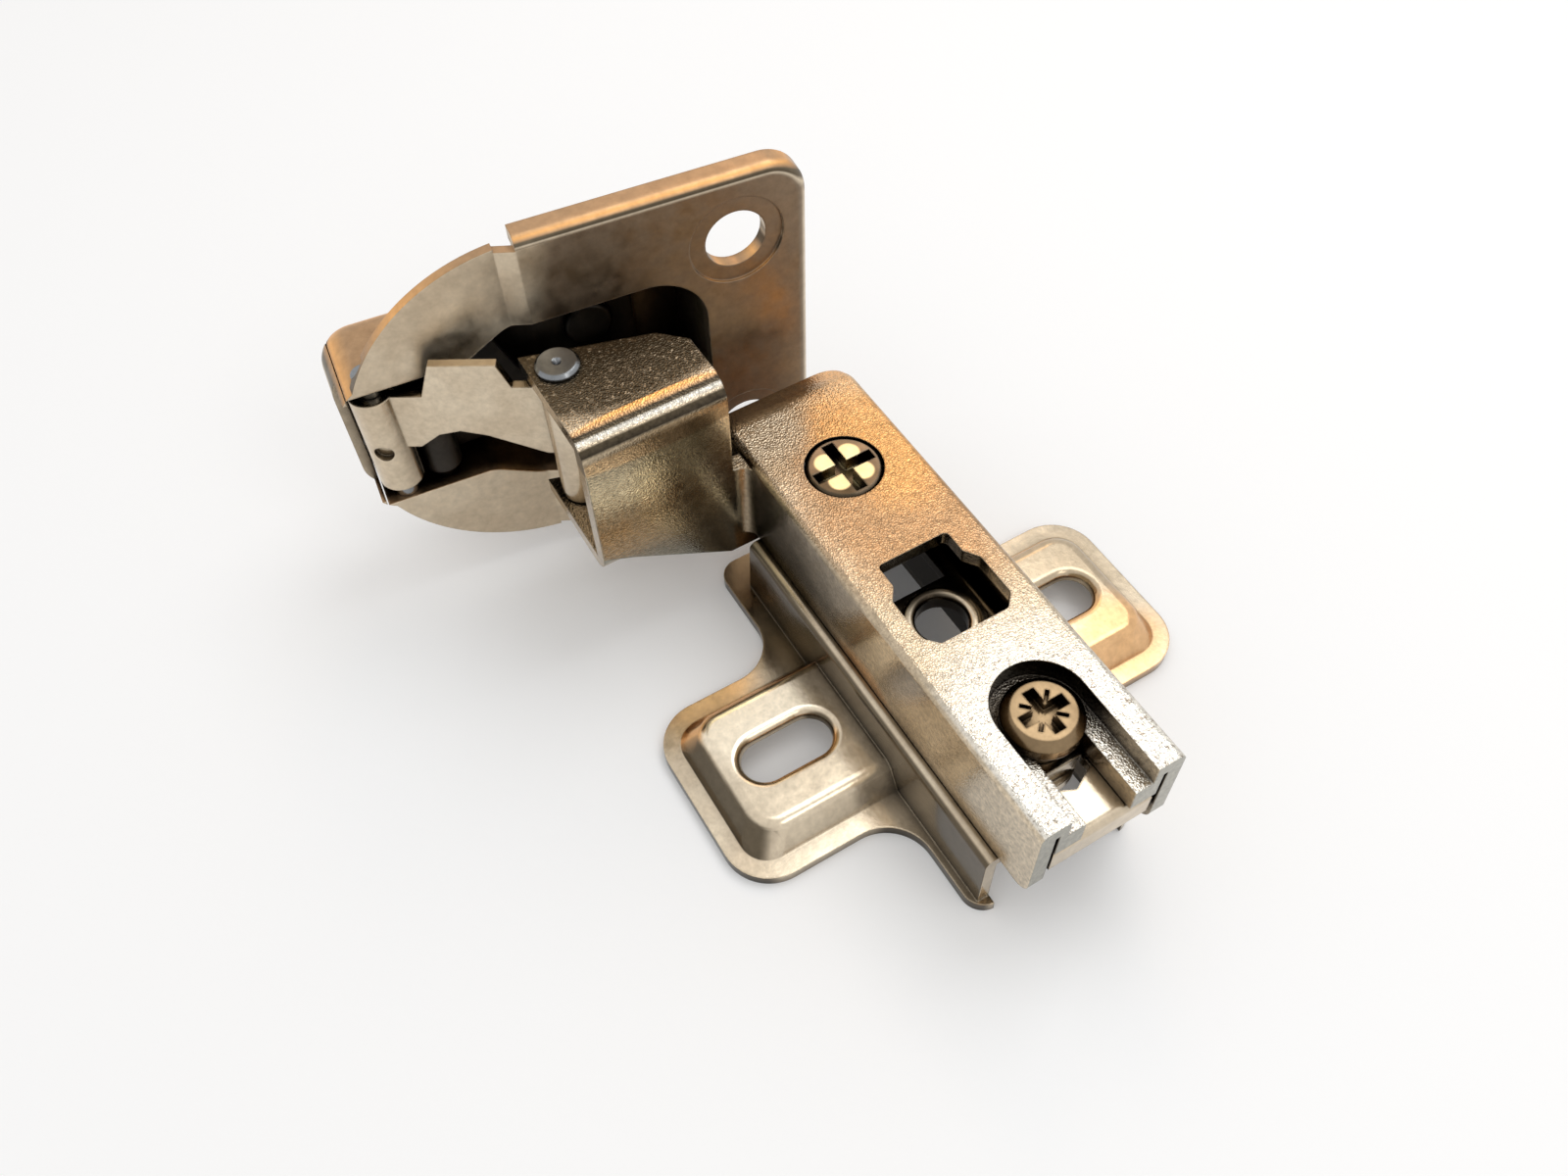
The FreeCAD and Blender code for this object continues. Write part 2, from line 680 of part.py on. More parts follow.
def fixing_screw():
    """Pan head screw whose thread clamps the arm to the collar of the plate."""
    body = new_body("fixing_screw")
    body.setExpression("Placement.Base.x", bound("fixing_at"))
    head_under = "recess_floor + running_gap"
    head_top = head_under + " + fixing_head_height"
    turn(body, "fixing_form", [
        ("0", "fixing_end"),
        ("fixing_thread_radius - thread_bevel", "fixing_end"),
        ("fixing_thread_radius", "fixing_end + thread_bevel"),
        ("fixing_thread_radius", head_under),
        ("fixing_head_radius", head_under),
        ("fixing_head_radius", head_top + " - fixing_dome"),
        ("fixing_head_radius - fixing_dome", head_top),
        ("0", head_top),
    ])
    half = "cross_half"
    reach = "cross_reach"
    for name, across, along in (("cross_a", half, reach), ("cross_b", reach, half)):
        bar = box("-" + across, across, "-" + along, along)
        cut(body, "XY_Plane", name, [bar], head_top + " - cross_depth", head_top + " + 1")
    for name, lean in (("tick_a", ""), ("tick_b", "-")):
        side = "tick_half / sqrt(2)"
        end = "tick_reach / sqrt(2)"
        tick = [
            ("-" + end + " - " + side, lean + "(-" + end + " + " + side + ")"),
            ("-" + end + " + " + side, lean + "(-" + end + " - " + side + ")"),
            (end + " + " + side, lean + "(" + end + " - " + side + ")"),
            (end + " - " + side, lean + "(" + end + " + " + side + ")"),
        ]
        cut(body, "XY_Plane", name, [tick], head_top + " - tick_depth", head_top + " + 1")
    return body


def adjusting_screw():
    """Threaded disc flush with the arm, on a neck and foot held by the plate's fork."""
    body = new_body("adjusting_screw")
    body.setExpression("Placement.Base.x", bound("-adjuster_at"))
    foot_top = "rib_height - plate_sheet - running_gap"
    foot_end = foot_top + " - adjuster_foot_height"
    disc_under = "arm_top - adjuster_height"
    turn(body, "adjuster_form", [
        ("0", foot_end),
        ("adjuster_foot", foot_end),
        ("adjuster_foot", foot_top),
        ("adjuster_neck", foot_top),
        ("adjuster_neck", disc_under),
        ("adjuster_radius", disc_under),
        ("adjuster_radius", "arm_top - adjuster_dome"),
        ("adjuster_radius - adjuster_dome", "arm_top"),
        ("0", "arm_top"),
    ])
    half = "adjuster_slot_half"
    reach = "adjuster_slot_reach"
    for name, across, along in (("drive_a", half, reach), ("drive_b", reach, half)):
        bar = box("-" + across, across, "-" + along, along)
        cut(body, "XY_Plane", name, [bar], "arm_top - adjuster_slot_depth", "arm_top + 1")
    return body


def outer_arm_pin():
    """Rivet through the bracket's cheeks, with a dimpled head above and a flat one below."""
    body = new_body("outer_arm_pin")
    body.setExpression("Placement.Base.x", bound("-arm_pivot_x"))
    body.setExpression("Placement.Base.y", bound("-arm_pivot_y"))
    low = "(hinge_height - bracket_height / 2)"
    high = "(hinge_height + bracket_height / 2)"
    turn(body, "rivet_form", [
        ("0", low + " - pin_head_height"),
        ("pin_head_radius - pin_head_height / 2", low + " - pin_head_height"),
        ("pin_head_radius", low + " - pin_head_height / 2"),
        ("pin_head_radius", low),
        ("pin_radius", low),
        ("pin_radius", high),
        ("pin_head_radius", high),
        ("pin_head_radius", high + " + pin_head_height / 2"),
        ("pin_head_radius - pin_head_height / 2", high + " + pin_head_height"),
        ("pin_dimple", high + " + pin_head_height"),
        ("0", high + " + pin_head_height - pin_dimple"),
    ])
    return body


def cup_place(across, depth):
    """Place in the arm's frame of a pivot that lies across the cup's face and behind it."""
    along_x = "(-cup_face - " + across + " * sin(door_angle) - " + depth + " * cos(door_angle))"
    along_y = "(-" + across + " * cos(door_angle) + " + depth + " * sin(door_angle))"
    return along_x, along_y


def lay_link(body, from_x, from_y, to_x, to_y):
    """Puts the link's own X axis on the line from one pivot to the other, and returns its length."""
    body.setExpression("Placement.Base.x", bound(from_x))
    body.setExpression("Placement.Base.y", bound(from_y))
    run = "(" + to_x + " - (" + from_x + "))"
    rise = "(" + to_y + " - (" + from_y + "))"
    body.setExpression("Placement.Rotation.Angle", bound("atan2(" + rise + "; " + run + ")"))
    return "sqrt(" + run + "^2 + " + rise + "^2)"


def outer_link():
    """Link with a rolled eye at each end, and a sheet between them that is arched below."""
    body = new_body("outer_link")
    cup_end = cup_place("cup_pivot_across", "cup_pivot_depth")
    length = lay_link(body, "-arm_pivot_x", "-arm_pivot_y", *cup_end)
    eye = "pin_radius + running_gap + outer_eye_wall"
    low = "hinge_height - bracket_height / 2 + arm_sheet + side_gap"
    high = "hinge_height + bracket_height / 2 - arm_sheet - side_gap"
    cup_low = "hinge_height - outer_eye_below"
    cup_high = "hinge_height + outer_eye_above"
    add(body, "XY_Plane", "arm_eye", [("0", "0", eye)], low, high)
    add(body, "XY_Plane", "cup_eye", [(length, "0", eye)], cup_low, cup_high)
    blade = [
        ("0", "hinge_height - arch_near_drop"),
        ("arch_near", "hinge_height - arch_near_drop"),
        ("arch_rise_at", "hinge_height + arch_rise"),
        ("arch_crown_at", "hinge_height + arch_crown"),
        ("arch_fall_at", "hinge_height + arch_fall"),
        ("arch_far", "hinge_height - arch_far_drop"),
        (length, "hinge_height - arch_far_drop"),
        (length, cup_high),
        ("outer_crown_fall", cup_high),
        ("outer_crown_end", "hinge_height + outer_crown"),
        ("outer_shoulder", "hinge_height + outer_crown"),
        ("outer_neck", high),
        ("0", high),
    ]
    add(body, "XZ_Plane", "blade", [blade], "0", "outer_eye_wall")
    bore = "pin_radius + running_gap"
    cut(body, "XY_Plane", "arm_bore", [("0", "0", bore)], low + " - 1", high + " + 1")
    cut(body, "XY_Plane", "cup_bore", [(length, "0", bore)], low + " - 1", high + " + 1")
    dimple = (length, "hinge_height", "dimple_radius")
    cut(body, "XZ_Plane", "eye_dimple", [dimple], "dimple_floor", eye + " + 1")
    seams = (("arm_seam", "0", eye + " + 1"), ("cup_seam", length + " - (" + eye + ") - 1", length))
    for name, start, end in seams:
        cut(body, "XY_Plane", name, [box(start, end, "-eye_seam", "0")], low + " - 1", high + " + 1")
    return body


def inner_link():
    """Stepped link between the ear of the bracket and the cup, short at its arm end."""
    body = new_body("inner_link")
    cup_end = cup_place("inner_cup_pivot_across", "inner_cup_pivot_depth")
    length = lay_link(body, *cup_end, "-inner_pivot_x", "-inner_pivot_y")
    eye = "inner_pin_radius + running_gap + inner_eye_wall"
    low = "hinge_height - bracket_height / 2 + arm_sheet + side_gap"
    cup_low = "hinge_height - inner_eye_below"
    cup_high = "hinge_height + inner_eye_above"
    eye_top = "hinge_height - inner_arm_eye_drop"
    add(body, "XY_Plane", "cup_eye", [("0", "0", eye)], cup_low, cup_high)
    add(body, "XY_Plane", "arm_eye", [(length, "0", eye)], low, eye_top)
    blade = [
        ("0", cup_low),
        ("inner_step_near", cup_low),
        ("inner_step_far", low),
        (length, low),
        (length, eye_top),
        ("inner_step_far", eye_top),
        ("inner_step_near", cup_high),
        ("0", cup_high),
    ]
    add(body, "XZ_Plane", "blade", [blade], eye + " - inner_eye_wall", eye)
    bore = "inner_pin_radius + running_gap"
    cut(body, "XY_Plane", "cup_bore", [("0", "0", bore)], low + " - 1", cup_high + " + 1")
    cut(body, "XY_Plane", "arm_bore", [(length, "0", "inner_pin_radius")], low + " - 1", cup_high + " + 1")
    return body


def inner_arm_pin():
    """Pin of the second arm pivot, held in the eye of the inner link."""
    body = new_body("inner_arm_pin")
    body.setExpression("Placement.Base.x", bound("-inner_pivot_x"))
    body.setExpression("Placement.Base.y", bound("-inner_pivot_y"))
    low = "hinge_height - bracket_height / 2 + arm_sheet + side_gap"
    eye_top = "hinge_height - inner_arm_eye_drop"
    turn(body, "inner_rivet_form", [
        ("0", low),
        ("inner_pin_radius", low),
        ("inner_pin_radius", eye_top),
        ("inner_pin_radius + pin_head_height", eye_top),
        ("inner_pin_radius + pin_head_height", eye_top + " + pin_head_height / 2"),
        ("inner_pin_radius", eye_top + " + pin_head_height"),
        ("0", eye_top + " + pin_head_height"),
    ])
    return body


def lay_on_face(body):
    """The cup's own frame: X out of the face, Y across it and Z up."""
    body.setExpression("Placement.Base.x", bound("-cup_face"))
    body.setExpression("Placement.Base.z", bound("hinge_height"))
    body.setExpression("Placement.Rotation.Angle", bound("-door_angle"))


def cup_pin(label, across, depth, radius):
    """Plain pin across the neck of the cup, upset a little at both ends."""
    body = new_body(label)
    lay_on_face(body)
    reach = "cup_neck_half + pin_end"
    add(body, "XY_Plane", label + "_rod", [("-" + depth, "-" + across, radius)], "-(" + reach + ")", reach)
    soften(body, label + "_ends", "pin_end / 2", pick(body, curved=True))
    return body


def hinge_cup():
    """Deep drawn cup, its flange and its half round rim, all one sheet."""
    body = new_body("hinge_cup")
    lay_on_face(body)
    skin = "cup_sheet"

    # Half round rim, set a little behind the flange and joined to it by a joggle
    radius = "(flange_half_height - crescent_inset)"
    rim = ("-crescent_across", "0", radius)
    add(body, "YZ_Plane", "crescent", [rim], "-crescent_step - " + skin, "-crescent_step")
    right_half = box("-flange_left - joggle", "0", "-" + radius + " - 1", radius + " + 1")
    cut(body, "YZ_Plane", "crescent_side", [right_half], "-crescent_step - " + skin + " - 1", "1")
    ramp = [
        ("0", "-flange_left"),
        ("-crescent_step", "-flange_left - joggle"),
        ("-crescent_step - " + skin, "-flange_left - joggle"),
        ("-" + skin, "-flange_left"),
    ]
    half = radius + " - joggle / 4"
    add(body, "XY_Plane", "joggle_ramp", [ramp], "-(" + half + ")", half)
    plate = box("-flange_left", "flange_right", "-flange_half_height", "flange_half_height")
    add(body, "YZ_Plane", "flange", [plate], "-flange_depth", "0")
    corners = []
    for side in (-1, 1):
        corners += pick(body, "x", y=near(size["flange_right"]), z=near(side * size["flange_half_height"]))
    soften(body, "flange_corners", "flange_corner", corners)
    edges = pick(body, "y", near(0), z=near(-size["flange_half_height"]))
    edges += pick(body, "y", near(0), z=near(size["flange_half_height"]))
    edges += pick(body, "z", near(0), y=near(size["flange_right"]))
    soften(body, "flange_edges", "flange_edge", edges)
    inner_half = "(flange_half_height - flange_rim)"
    back = box("-flange_left - 1", "flange_right - flange_rim", "-" + inner_half, inner_half)
    cut(body, "YZ_Plane", "flange_back", [back], "-flange_depth - 1", "-crescent_step - " + skin)

    # Cup body: wide under the flange, with a narrower neck that holds the pins
    add(body, "YZ_Plane", "cup_body", [cup_outline("0")], "-cup_depth", "-crescent_step")
    for name, sign in (("cup_lower_round", "-"), ("cup_upper_round", "")):
        add(body, "YZ_Plane", name, [cup_round("0", sign)], "-cup_depth", "-crescent_step")
    floor = -size["cup_depth"]
    left = -size["cup_left"]
    neck = size["cup_neck_half"]
    wide = size["cup_half_height"]
    ends = []
    for side in (-1, 1):
        ends += pick(body, "x", (floor, -1), near(left), near(side * neck))
        ends += pick(body, "x", (floor, -1), near(-size["cup_shoulder_across"]), near(side * wide))
        ends += pick(body, "x", (floor, -1), near(-size["cup_neck_across"]), near(side * neck))
    soften(body, "cup_corners", "cup_corner", ends)
    soften(body, "cup_floor_edges", "cup_floor_round", pick(body, "y", near(floor)))

    # The mouth and the hollow are one opening, a sheet's thickness inside the body
    cut(body, "YZ_Plane", "cup_hollow", [cup_outline(skin)], "-cup_depth + " + skin, "1")
    for name, sign in (("hollow_lower_round", "-"), ("hollow_upper_round", "")):
        cut(body, "YZ_Plane", name, [cup_round(skin, sign)], "-cup_depth + " + skin, "1")
    neck -= size["cup_sheet"]
    wide -= size["cup_sheet"]
    ends = []
    middle = near((size["cup_sheet"] - size["cup_depth"]) / 2, 1.5)
    for side in (-1, 1):
        ends += pick(body, "x", middle, near(left + size["cup_sheet"]), near(side * neck))
        ends += pick(body, "x", middle, near(-size["cup_shoulder_across"], 1), near(side * wide))
        ends += pick(body, "x", middle, near(-size["cup_neck_across"], 1), near(side * neck))
    soften(body, "mouth_corners", "mouth_corner", ends)

    # The neck's end is cut low, so that the outer link can swing out through it
    low_end = box("-cup_left - 2", "-cup_left + cup_sheet + 0.5", "-mouth_end_half", "mouth_end_half")
    cut(body, "YZ_Plane", "low_end", [low_end], "-cup_end_cut", "1")

    # Dished holes for the door's screws, and the holes of the two pins and the rivet
    for name, up in (("lower", "-flange_hole_up"), ("upper", "flange_hole_up")):
        dish = ("-flange_hole_across", up, "flange_dish")
        cut(body, "YZ_Plane", name + "_dish", [dish], "-flange_dish_depth", "1")
        hole = ("-flange_hole_across", up, "flange_hole")
        cut(body, "YZ_Plane", name + "_hole", [hole], "-flange_depth", "1")
    reach = "cup_half_height"
    outer = ("-cup_pivot_depth", "-cup_pivot_across", "pin_radius")
    cut(body, "XY_Plane", "outer_pin_holes", [outer], "-" + reach, reach)
    inner = ("-inner_cup_pivot_depth", "-inner_cup_pivot_across", "inner_pin_radius")
    cut(body, "XY_Plane", "inner_pin_holes", [inner], "-" + reach, reach)
    cut(body, "YZ_Plane", "rivet_hole", [("-rivet_across", "0", "rivet_radius")], "-cup_depth - 1", "0")
    return body


def cup_outline(inset):
    """Outline of the cup across and up, drawn in by a distance, without its two round corners."""
    wide = "(cup_half_height - " + inset + ")"
    neck = "(cup_neck_half - " + inset + ")"
    bend = "(cup_right_corner - " + inset + ")"
    half = [
        ("-cup_left + " + inset, "-" + neck),
        ("-cup_neck_across", "-" + neck),
        ("-cup_shoulder_across", "-" + wide),
        ("-cup_right - " + inset + " - " + bend, "-" + wide),
        ("-cup_right - " + inset, "-(" + wide + " - " + bend + ")"),
    ]
    return half + [(across, up[1:]) for across, up in reversed(half)]


def cup_round(inset, sign):
    """Circle that fills one of the two round corners of that outline."""
    bend = "(cup_right_corner - " + inset + ")"
    up = sign + "(cup_half_height - " + inset + " - " + bend + ")"
    return ("-cup_right - " + inset + " - " + bend, up, bend)


def closing_spring():
    """Leaf on the cup floor, folded back at the neck to press on the eyes of the links."""
    body = new_body("closing_spring")
    lay_on_face(body)
    base = "(-cup_depth + cup_sheet + running_gap)"
    leaf = box(base, base + " + spring_sheet", "-spring_left", "-spring_right")
    half = "spring_half_width"
    add(body, "XY_Plane", "leaf", [leaf], "-" + half, half)
    bend = base + " + spring_bend"
    add(body, "XY_Plane", "fold", [(bend, "-spring_left", "spring_bend")], "-" + half, half)
    inner = (bend, "-spring_left", "spring_bend - spring_sheet")
    cut(body, "XY_Plane", "fold_hollow", [inner], "-" + half, half)
    high = base + " + 2 * spring_bend"
    beyond = "-spring_left + spring_bend + 1"
    open_side = box(base + " + spring_sheet", high + " + 1", "-spring_left", beyond)
    cut(body, "XY_Plane", "fold_side", [open_side], "-" + half, half)
    tongue = [
        (high, "-spring_left"),
        ("-spring_crest_depth", "-spring_crest_across"),
        ("-spring_tongue_depth", "-spring_tongue_across"),
        ("-spring_tongue_depth - spring_sheet", "-spring_tongue_across"),
        ("-spring_crest_depth - spring_sheet", "-spring_crest_across"),
        (high + " - spring_sheet", "-spring_left"),
    ]
    add(body, "XY_Plane", "tongue", [tongue], "-" + half, half)
    hole = ("-rivet_across", "0", "rivet_radius")
    cut(body, "YZ_Plane", "spring_hole", [hole], base + " - 1", base + " + spring_sheet + 1")
    return body


def spring_rivet():
    """Rivet that holds the spring to the cup floor."""
    body = new_body("spring_rivet")
    lay_on_face(body)
    seat = "(-cup_depth + cup_sheet + running_gap + spring_sheet)"
    place = "-rivet_across"
    add(body, "YZ_Plane", "shank", [(place, "0", "rivet_radius")], "-cup_depth", seat)
    add(body, "YZ_Plane", "head", [(place, "0", "rivet_head_radius")], seat, seat + " + rivet_head_height")
    top = pick(body, None, near(seat_depth() + size["rivet_head_height"]), curved=True)
    soften(body, "head_round", "rivet_head_height / 2", top)
    tail = ("-cup_depth - rivet_head_height", "-cup_depth")
    add(body, "YZ_Plane", "tail", [(place, "0", "rivet_radius + rivet_head_height / 2")], *tail)
    return body


def seat_depth():
    """Height of the spring's upper side over the face's plane, below zero."""
    return -size["cup_depth"] + size["cup_sheet"] + size["running_gap"] + size["spring_sheet"]


def check(pieces):
    """Every object has to build, and every piece has to be a valid solid."""
    doc.recompute()
    for item in doc.Objects:
        if "Invalid" in item.State or "Error" in item.State:
            raise RuntimeError(item.Label + " did not build")
    for piece in pieces:
        if piece.Shape.isNull() or not piece.Shape.isValid() or len(piece.Shape.Solids) != 1:
            raise RuntimeError(piece.Label + " is not one valid solid")


pieces = [
    mounting_plate(),
    hinge_arm(),
    fixing_screw(),
    adjusting_screw(),
    outer_arm_pin(),
    outer_link(),
    inner_link(),
    inner_arm_pin(),
    hinge_cup(),
    cup_pin("outer_cup_pin", "cup_pivot_across", "cup_pivot_depth", "pin_radius"),
    cup_pin("inner_cup_pin", "inner_cup_pivot_across", "inner_cup_pivot_depth", "inner_pin_radius"),
    closing_spring(),
    spring_rivet(),
]
check(pieces)
os.makedirs("parts", exist_ok=True)
for piece in pieces:
    piece.Shape.exportStep("parts/" + piece.Label + ".step")
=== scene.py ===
import math

import bpy
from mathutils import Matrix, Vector


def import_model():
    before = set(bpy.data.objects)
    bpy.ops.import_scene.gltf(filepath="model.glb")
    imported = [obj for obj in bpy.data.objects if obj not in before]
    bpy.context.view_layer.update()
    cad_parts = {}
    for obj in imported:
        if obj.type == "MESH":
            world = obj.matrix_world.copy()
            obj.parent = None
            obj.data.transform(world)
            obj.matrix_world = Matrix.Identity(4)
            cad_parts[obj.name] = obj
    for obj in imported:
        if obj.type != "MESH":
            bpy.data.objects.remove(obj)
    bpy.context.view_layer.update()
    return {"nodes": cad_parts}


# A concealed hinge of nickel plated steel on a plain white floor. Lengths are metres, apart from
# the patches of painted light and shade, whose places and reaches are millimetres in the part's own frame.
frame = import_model()
NODES = frame["nodes"]

# The photograph's camera: its place, its turn in degrees, and its lens and sensor in millimetres
CAMERA_PLACE = (0.05379, -0.04590, 0.11744)
CAMERA_TURN = (35.2606, 1.1309, 59.1047)
LENS = 30.4237
SENSOR = 36.0
NEAREST_SEEN = 0.005

# Square lamps by name: place, width, watts and colour. All of them aim at one point
LAMPS = {
    "key": ((-0.05, 0.14, 0.36), 0.2, 0.29, (0.97, 0.985, 1.0)),
    "warm": ((-0.27, 0.17, 0.32), 0.12, 0.07, (1.0, 0.66, 0.36)),
    "side": ((0.26, 0.08, 0.34), 0.12, 0.12, (1.0, 0.97, 0.92)),
}
LAMP_TARGET = (0.0, 0.0, 0.01)

# The floor, and the strength of the plain light round it
FLOOR_WIDTH = 4.0
FLOOR_WHITE = 0.92
FLOOR_GLOW = 0.08
WORLD_LIGHT = 0.76

# Colours, linear: of each finish, and of the painted light and shade laid over them
NICKEL = (0.57, 0.465, 0.335)
NICKEL_WARM = (0.47, 0.375, 0.255)
NICKEL_PALE = (0.68, 0.575, 0.43)
# Painted shade: deep in corners and inside the rib, and the darkest bands of painted reflection
PAINTED_DEEP_SHADE = (0.03, 0.023, 0.016)
# Painted highlight on the near pad's top, the web's right and the cup's left
PAINTED_HIGHLIGHT = (0.95, 0.84, 0.66)
# Painted highlight going silver on the arm's rear, and a bright band of painted reflection round bends
PAINTED_SILVER_HIGHLIGHT = (0.78, 0.74, 0.66)
# Painted warm reflection on the arm's front top and in the bands round bends and edges
PAINTED_BRONZE_REFLECTION = (0.42, 0.24, 0.115)
# Painted orange reflection on the pads' flanks, the arm's front and tip, the cheek's foot and the bands
PAINTED_ORANGE_REFLECTION = (0.84, 0.42, 0.13)
# Painted reflections on the arm's rear faces and web, one lighter and one duller
PAINTED_OLIVE_REFLECTION = (0.62, 0.57, 0.41)
PAINTED_DULL_OLIVE_REFLECTION = (0.32, 0.305, 0.25)
# Painted shade and dark reflection on lower flanks, bracket, cheek and bands; also the adjusting screw's
# dark head
DARK_BROWN_AND_PAINTED_SHADE = (0.07, 0.053, 0.032)
# Painted shade at the step's foot and dark reflection on the flange face and rolled edge; also the arm's
# pits and the adjusting screw's head
DUSKY_BROWN_AND_PAINTED_SHADE = (0.22, 0.165, 0.115)
# Painted highlights in the four lobes of the adjusting screw's head
PAINTED_PALE_HIGHLIGHT = (0.80, 0.68, 0.40)
SCREW = (0.12, 0.08, 0.042)
SCREW_LIGHT = (0.26, 0.18, 0.1)
PIN = (0.36, 0.375, 0.39)
PIN_DARK = (0.22, 0.23, 0.24)
# Painted shade: the hidden inner link, inner pins, rivet and spring are made near black, the second darker
PAINTED_SHADE_BLACK = (0.05, 0.042, 0.034)
PAINTED_SHADE_BLACKEST = (0.022, 0.02, 0.018)

# Directions of the part: up, to the arm's rear end, to its near side, and out of the cup's face
UP = (0.0, 0.0, 1.0)
TO_REAR = (1.0, 0.0, 0.0)
TO_NEAR_SIDE = (0.0, -1.0, 0.0)
CUP_OUT = (0.99, -0.12, 0.0)

# Faces by name, for tones that go by facing, most of them painted light and shade: the direction they look
# in, how far along it they look where the tone starts and where it is full, and its strength
FACES = {
    "left flanks": ((-0.75, -0.3, 0.3), 0.4, 0.7, 0.75),
    "lower flanks": ((0.3, -0.9, 0.1), 0.5, 0.75, 0.9),
    "level faces": (UP, 0.8, 0.95, 1.0),
    "top faces": (UP, 0.5, 0.85, 1.0),
    "rear faces": (TO_REAR, 0.9, 0.99, 1.0),
    "near faces": (TO_NEAR_SIDE, 0.6, 0.9, 1.0),
    "cup face": (CUP_OUT, 0.75, 0.97, 1.0),
    "cup's rolled edge": (UP, 0.02, 0.1, 0.85),
}

# Patches by name, where painted light and shade are laid: middle and reach in millimetres, and strength.
# Some also say which share of the reach is at full strength and how ragged the rim is
PATCHES = {
    "far pad": ((-4, 20, 3), (9, 9, 5), 0.8),
    "far pad's rear": ((7, 20, 3), (7, 8, 6), 0.6),
    "near pad's front": ((-12, -20, 2), (7, 9, 6), 0.4),
    "near pad": ((-4, -17, 4), (7, 9, 3), 0.8),
    "foot of the step": ((-14, -9, 3), (14, 4, 5), 0.6),
    "inside of the rib": ((-3, 0, 8), (14, 8, 9), 1.0, 0.85, 0.0),
    "arm's rear": ((24, 0, 20), (22, 14, 8), 1.0),
    "arm's front": ((-10, 2, 20), (19, 12, 4), 0.9),
    "arm's far front": ((-17, 4, 20), (12, 7, 4), 0.5),
    "arm's near front": ((-24, -4, 20), (6, 5, 4), 0.6),
    "arm's tip": ((-28, 6, 18), (5, 4, 4), 0.9),
    "bracket": ((-30, -15, 31), (7, 14, 5), 0.9, 0.8),
    "bracket's bend": ((-21.6, -16, 29.6), (3.2, 14, 2.9), 0.95, 0.85, 0.0),
    "web's middle": ((-21, -13, 22), (4, 8, 10), 0.8),
    "web's right": ((-21, -8.5, 23), (4, 4.5, 9), 0.85),
    "cheek's rear": ((28, -8, 14), (22, 4, 12), 0.9),
    "cheek's front": ((-24, -9, 12), (35, 4, 15), 0.97),
    "cheek's foot": ((0, -8, 9), (6, 3, 3.5), 0.5),
    "flange": ((-35, 4, 30), (12, 26, 30), 0.95, 0.88, 0.04),
    "cup's left": ((-38, -26, 31), (3, 7, 4), 0.9),
}

# Speckles by name: scale of their noise, its values where they start and are full, and strength
SPECKLES = {
    "pits": (2600.0, 0.55, 0.66, 0.75),
    "specks": (2100.0, 0.54, 0.68, 0.6),
}

# Tones in the order in which they are laid, each where its faces, patch and speckles meet. They are painted
# light and shade, apart from the pits and specks, which are grain
# On the pads: painted orange and warm reflections on flanks and pads, painted shade on the lower flanks, at
# the step's foot and inside the rib, and a painted highlight on the near top
PLATE_TONES = (
    (("left flanks",), PAINTED_ORANGE_REFLECTION),
    (("lower flanks",), DARK_BROWN_AND_PAINTED_SHADE),
    (("far pad",), NICKEL_WARM),
    (("far pad's rear",), PAINTED_ORANGE_REFLECTION),
    (("near pad's front",), PAINTED_ORANGE_REFLECTION),
    (("level faces", "near pad"), PAINTED_HIGHLIGHT),
    (("foot of the step",), DUSKY_BROWN_AND_PAINTED_SHADE),
    (("inside of the rib",), PAINTED_DEEP_SHADE),
)
# On the arm: painted highlights going silver to the rear and on the cheek's rear, painted bronze, orange
# and grey reflections in front, painted dark reflection on the bracket and the cheek's front, painted olive
# reflections on the web; the pits and the bracket's specks are grain
ARM_TONES = (
    (("top faces", "arm's rear"), PAINTED_SILVER_HIGHLIGHT),
    (("top faces", "arm's rear", "pits"), DUSKY_BROWN_AND_PAINTED_SHADE),
    (("top faces", "arm's front"), PAINTED_BRONZE_REFLECTION),
    (("top faces", "arm's far front"), PAINTED_ORANGE_REFLECTION),
    (("arm's tip",), PAINTED_ORANGE_REFLECTION),
    (("top faces", "arm's near front"), NICKEL),
    (("top faces", "bracket"), DARK_BROWN_AND_PAINTED_SHADE),
    (("top faces", "bracket", "specks"), NICKEL),
    (("rear faces",), PAINTED_DULL_OLIVE_REFLECTION),
    (("rear faces", "web's middle"), PAINTED_OLIVE_REFLECTION),
    (("rear faces", "web's right"), PAINTED_HIGHLIGHT),
    (("near faces", "cheek's rear"), NICKEL_PALE),
    (("near faces", "cheek's front"), DARK_BROWN_AND_PAINTED_SHADE),
    (("near faces", "cheek's foot"), PAINTED_ORANGE_REFLECTION),
)
# On the cup: a painted dark reflection on the flange face and a painted highlight round the cup's left
CUP_TONES = (
    (("cup face", "flange"), DUSKY_BROWN_AND_PAINTED_SHADE),
    (("cup's left",), PAINTED_HIGHLIGHT),
)

# Painted reflections in bands round a bend, as it would mirror a room: a colour for how far the surface
# looks in a direction
BEND_BANDS = (
    (0.02, DARK_BROWN_AND_PAINTED_SHADE), (0.1, PAINTED_ORANGE_REFLECTION), (0.3, PAINTED_BRONZE_REFLECTION), (0.4, PAINTED_DEEP_SHADE), (0.52, DARK_BROWN_AND_PAINTED_SHADE),
    (0.62, PAINTED_SILVER_HIGHLIGHT), (0.74, NICKEL), (0.8, DARK_BROWN_AND_PAINTED_SHADE), (0.93, PAINTED_DEEP_SHADE), (0.97, NICKEL_WARM),
)
